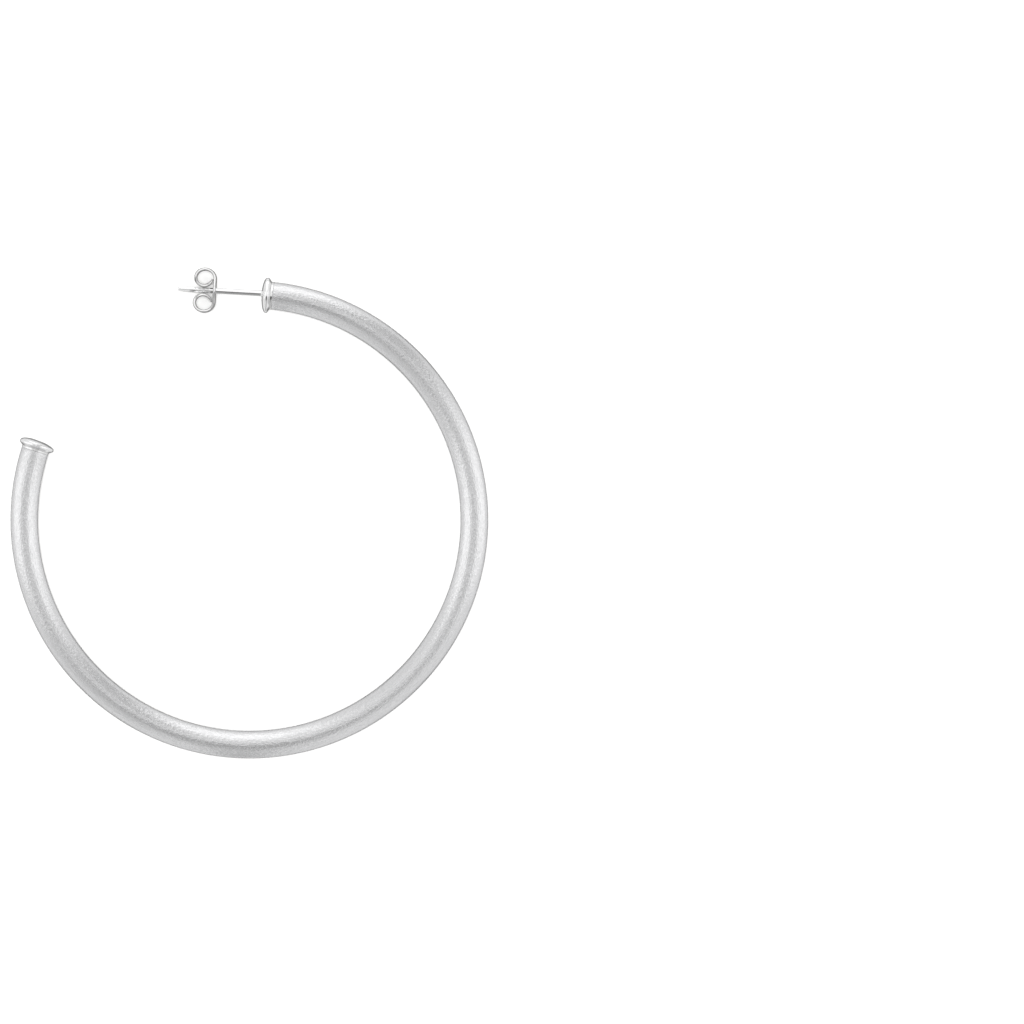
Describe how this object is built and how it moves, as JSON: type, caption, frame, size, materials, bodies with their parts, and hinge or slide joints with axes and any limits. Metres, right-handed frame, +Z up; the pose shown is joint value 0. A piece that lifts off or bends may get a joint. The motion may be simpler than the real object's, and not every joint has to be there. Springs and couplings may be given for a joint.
{
  "type": "hoop earring",
  "caption": "Large open hoop earring of satin round tube with a flanged cap on each end, a straight ear post and a removable butterfly back.",
  "frame": {"origin": "on the surface that the earring lies on, under the middle of its bounding box", "axes": "+Z up, across the hoop; +Y from the bottom of the hoop to the post's side; +X from the open side to the closed side"},
  "size_m": [0.0634, 0.0652, 0.0047],
  "materials": {
    "satin_silver": "satin brushed silver with a fine grain",
    "polished_silver": "polished silver"
  },
  "bodies": {
    "hoop": {"hoop_tube": "satin_silver", "post_collar": "polished_silver", "end_collar": "satin_silver"},
    "back": {"butterfly_back": "polished_silver"}
  },
  "joints": [
    {"name": "back_slide", "type": "slide", "parent": "hoop", "child": "back", "axis": [-0.9984, 0.0558, 0], "range_m": [-0.00605, 0.0049]}
  ]
}
